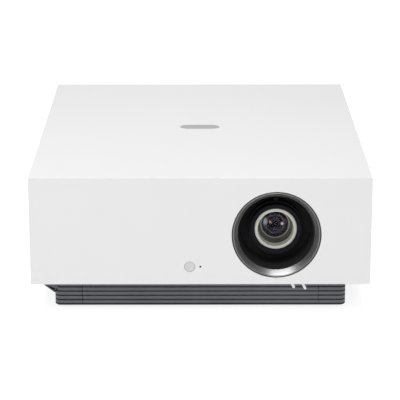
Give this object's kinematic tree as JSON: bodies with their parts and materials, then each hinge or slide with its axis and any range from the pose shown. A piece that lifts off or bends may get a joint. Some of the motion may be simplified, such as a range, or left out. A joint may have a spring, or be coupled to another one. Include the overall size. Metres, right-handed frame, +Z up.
{
  "type": "home projector",
  "caption": "Low rectangular home projector: white box with a recessed lens in a silver ring, on a dark slatted plinth, with lens shift levers and screw feet.",
  "frame": {"origin": "middle of the footprint, on the surface that the feet stand on", "axes": "+X to the right seen from the front, +Y towards the rear, the front panel and lens face -Y, +Z up"},
  "size_m": [0.347, 0.415, 0.145],
  "materials": {
    "white_shell": "fine-grained white moulding, satin",
    "dark_plastic": "dark grey moulding, fine spark grain",
    "black_plastic": "matt black",
    "smoked_window": "polished, nearly black",
    "grey_badge": "satin grey inlay",
    "satin_bezel": "turned, fine circular brushing",
    "pale_window": "translucent pale grey, polished",
    "lens_glass": "coated optical glass",
    "lens_cell": "pale satin anodised, stepped baffle",
    "cast_metal": "die-cast, bead-blasted",
    "bare_aluminium": "extruded, plain",
    "circuit_board": "green solder mask",
    "port_steel": "nickel-plated sheet and turned steel",
    "foot_rubber": "matt black rubber"
  },
  "bodies": {
    "chassis": {"body_sleeve": "white_shell", "bottom_tray": "dark_plastic", "exhaust_fan_frame": "black_plastic", "front_louvre": "dark_plastic", "front_panel": "white_shell", "hdmi_port_1": "port_steel", "hdmi_port_2": "port_steel", "headphone_jack": "black_plastic", "intake_fan_frame": "black_plastic", "io_bay": "dark_plastic", "joystick_housing": "dark_plastic", "lan_port": "port_steel", "laser_heatsink": "bare_aluminium", "laser_module": "cast_metal", "left_air_hood": "dark_plastic", "left_louvre": "dark_plastic", "left_speaker": "black_plastic", "lens_bezel": "satin_bezel", "lens_recess": "black_plastic", "lens_shift_base": "cast_metal", "light_engine_housing": "cast_metal", "light_sensor_window": "smoked_window", "main_board": "circuit_board", "mains_inlet": "black_plastic", "mirror_chip_board": "circuit_board", "optical_audio_port": "black_plastic", "plinth_base_plate": "dark_plastic", "power_board": "circuit_board", "rear_left_foot": "foot_rubber", "rear_louvre": "dark_plastic", "rear_panel": "white_shell", "rear_right_foot": "foot_rubber", "remote_eye_window": "pale_window", "right_louvre": "dark_plastic", "right_speaker": "black_plastic", "top_badge": "grey_badge", "usb_port": "port_steel"},
    "vertical_carriage": {"vertical_carriage": "cast_metal"},
    "horizontal_carriage": {"horizontal_carriage": "cast_metal", "lens_barrel": "black_plastic", "light_shield": "black_plastic", "rear_lens": "lens_glass"},
    "focus_group": {"front_lens_cell": "lens_cell", "front_lens": "lens_glass"},
    "focus_ring": {"focus_ring": "black_plastic"},
    "zoom_group": {"zoom_lens_cell": "black_plastic", "zoom_lens": "lens_glass"},
    "zoom_ring": {"zoom_ring": "black_plastic"},
    "vertical_shift_lever": {"vertical_shift_lever": "white_shell"},
    "horizontal_shift_lever": {"horizontal_shift_lever": "white_shell"},
    "phosphor_wheel": {"phosphor_wheel": "bare_aluminium"},
    "intake_fan_rotor": {"intake_fan_rotor": "black_plastic"},
    "exhaust_fan_rotor": {"exhaust_fan_rotor": "black_plastic"},
    "joystick_gimbal": {"joystick_gimbal": "port_steel"},
    "joystick_stem": {"joystick_stem": "port_steel"},
    "joystick_cap": {"joystick_cap": "dark_plastic"},
    "front_left_foot_screw": {"front_left_foot_screw": "port_steel"},
    "front_left_foot_disc": {"front_left_foot_disc": "foot_rubber"},
    "front_right_foot_screw": {"front_right_foot_screw": "port_steel"},
    "front_right_foot_disc": {"front_right_foot_disc": "foot_rubber"}
  },
  "joints": [
    {"name": "vertical_shift", "type": "slide", "parent": "chassis", "child": "vertical_carriage", "axis": [0, 0, 1], "range_m": [-0.0035, 0.0035]},
    {"name": "horizontal_shift", "type": "slide", "parent": "vertical_carriage", "child": "horizontal_carriage", "axis": [1, 0, 0], "range_m": [-0.0025, 0.0025]},
    {"name": "vertical_lever_swing", "type": "hinge", "parent": "chassis", "child": "vertical_shift_lever", "pos_m": [0.0901, -0.1972, 0.038], "axis": [0, 1, 0], "range_deg": [-14.05, 14.05]},
    {"name": "horizontal_lever_swing", "type": "hinge", "parent": "chassis", "child": "horizontal_shift_lever", "pos_m": [0.1011, -0.1972, 0.038], "axis": [0, 1, 0], "range_deg": [-14.05, 14.05]},
    {"name": "focus_travel", "type": "slide", "parent": "horizontal_carriage", "child": "focus_group", "axis": [0, 1, 0], "range_m": [-0.0014, 0.0014]},
    {"name": "focus_turn", "type": "hinge", "parent": "horizontal_carriage", "child": "focus_ring", "pos_m": [0.0773, -0.1845, 0.0852], "axis": [0, 1, 0], "range_deg": [-42, 42]},
    {"name": "zoom_travel", "type": "slide", "parent": "horizontal_carriage", "child": "zoom_group", "axis": [0, 1, 0], "range_m": [-0.002, 0.012]},
    {"name": "zoom_turn", "type": "hinge", "parent": "horizontal_carriage", "child": "zoom_ring", "pos_m": [0.0773, -0.176, 0.0852], "axis": [0, 1, 0], "range_deg": [-10.5, 60.5]},
    {"name": "phosphor_wheel_spin", "type": "hinge", "parent": "chassis", "child": "phosphor_wheel", "pos_m": [0.0182, -0.045, 0.0852], "axis": [1, 0, 0], "continuous": true},
    {"name": "intake_fan_spin", "type": "hinge", "parent": "chassis", "child": "intake_fan_rotor", "pos_m": [-0.092, -0.112, 0.088], "axis": [0, 1, 0], "continuous": true},
    {"name": "exhaust_fan_spin", "type": "hinge", "parent": "chassis", "child": "exhaust_fan_rotor", "pos_m": [-0.12, 0.186, 0.092], "axis": [0, 1, 0], "continuous": true},
    {"name": "joystick_up_down", "type": "hinge", "parent": "chassis", "child": "joystick_gimbal", "pos_m": [0.125, 0.193, 0.11], "axis": [1, 0, 0], "range_deg": [-6, 6], "stiffness_Nm_per_rad": 0.06},
    {"name": "joystick_left_right", "type": "hinge", "parent": "joystick_gimbal", "child": "joystick_stem", "pos_m": [0.125, 0.193, 0.11], "axis": [0, 0, 1], "range_deg": [-6, 6], "stiffness_Nm_per_rad": 0.06},
    {"name": "joystick_press", "type": "slide", "parent": "joystick_stem", "child": "joystick_cap", "axis": [0, -1, 0], "range_m": [0, 0.0006], "stiffness_N_per_m": 600},
    {"name": "front_left_foot_extend", "type": "slide", "parent": "chassis", "child": "front_left_foot_screw", "axis": [0, 0, -1], "range_m": [0, 0.008]},
    {"name": "front_left_foot_turn", "type": "hinge", "parent": "front_left_foot_screw", "child": "front_left_foot_disc", "pos_m": [-0.122, -0.15, 0.0015], "axis": [0, 0, 1], "range_deg": [0, 1441]},
    {"name": "front_right_foot_extend", "type": "slide", "parent": "chassis", "child": "front_right_foot_screw", "axis": [0, 0, -1], "range_m": [0, 0.008]},
    {"name": "front_right_foot_turn", "type": "hinge", "parent": "front_right_foot_screw", "child": "front_right_foot_disc", "pos_m": [0.122, -0.15, 0.0015], "axis": [0, 0, 1], "range_deg": [0, 1441]}
  ],
  "couplings": [
    {"joint": "vertical_lever_swing", "follows": "vertical_shift", "rad_per_m": -69.813},
    {"joint": "horizontal_lever_swing", "follows": "horizontal_shift", "rad_per_m": -97.738},
    {"joint": "focus_turn", "follows": "focus_travel", "rad_per_m": 500},
    {"joint": "zoom_turn", "follows": "zoom_travel", "rad_per_m": 87},
    {"joint": "front_left_foot_turn", "follows": "front_left_foot_extend", "rad_per_m": 3141},
    {"joint": "front_right_foot_turn", "follows": "front_right_foot_extend", "rad_per_m": 3141}
  ]
}
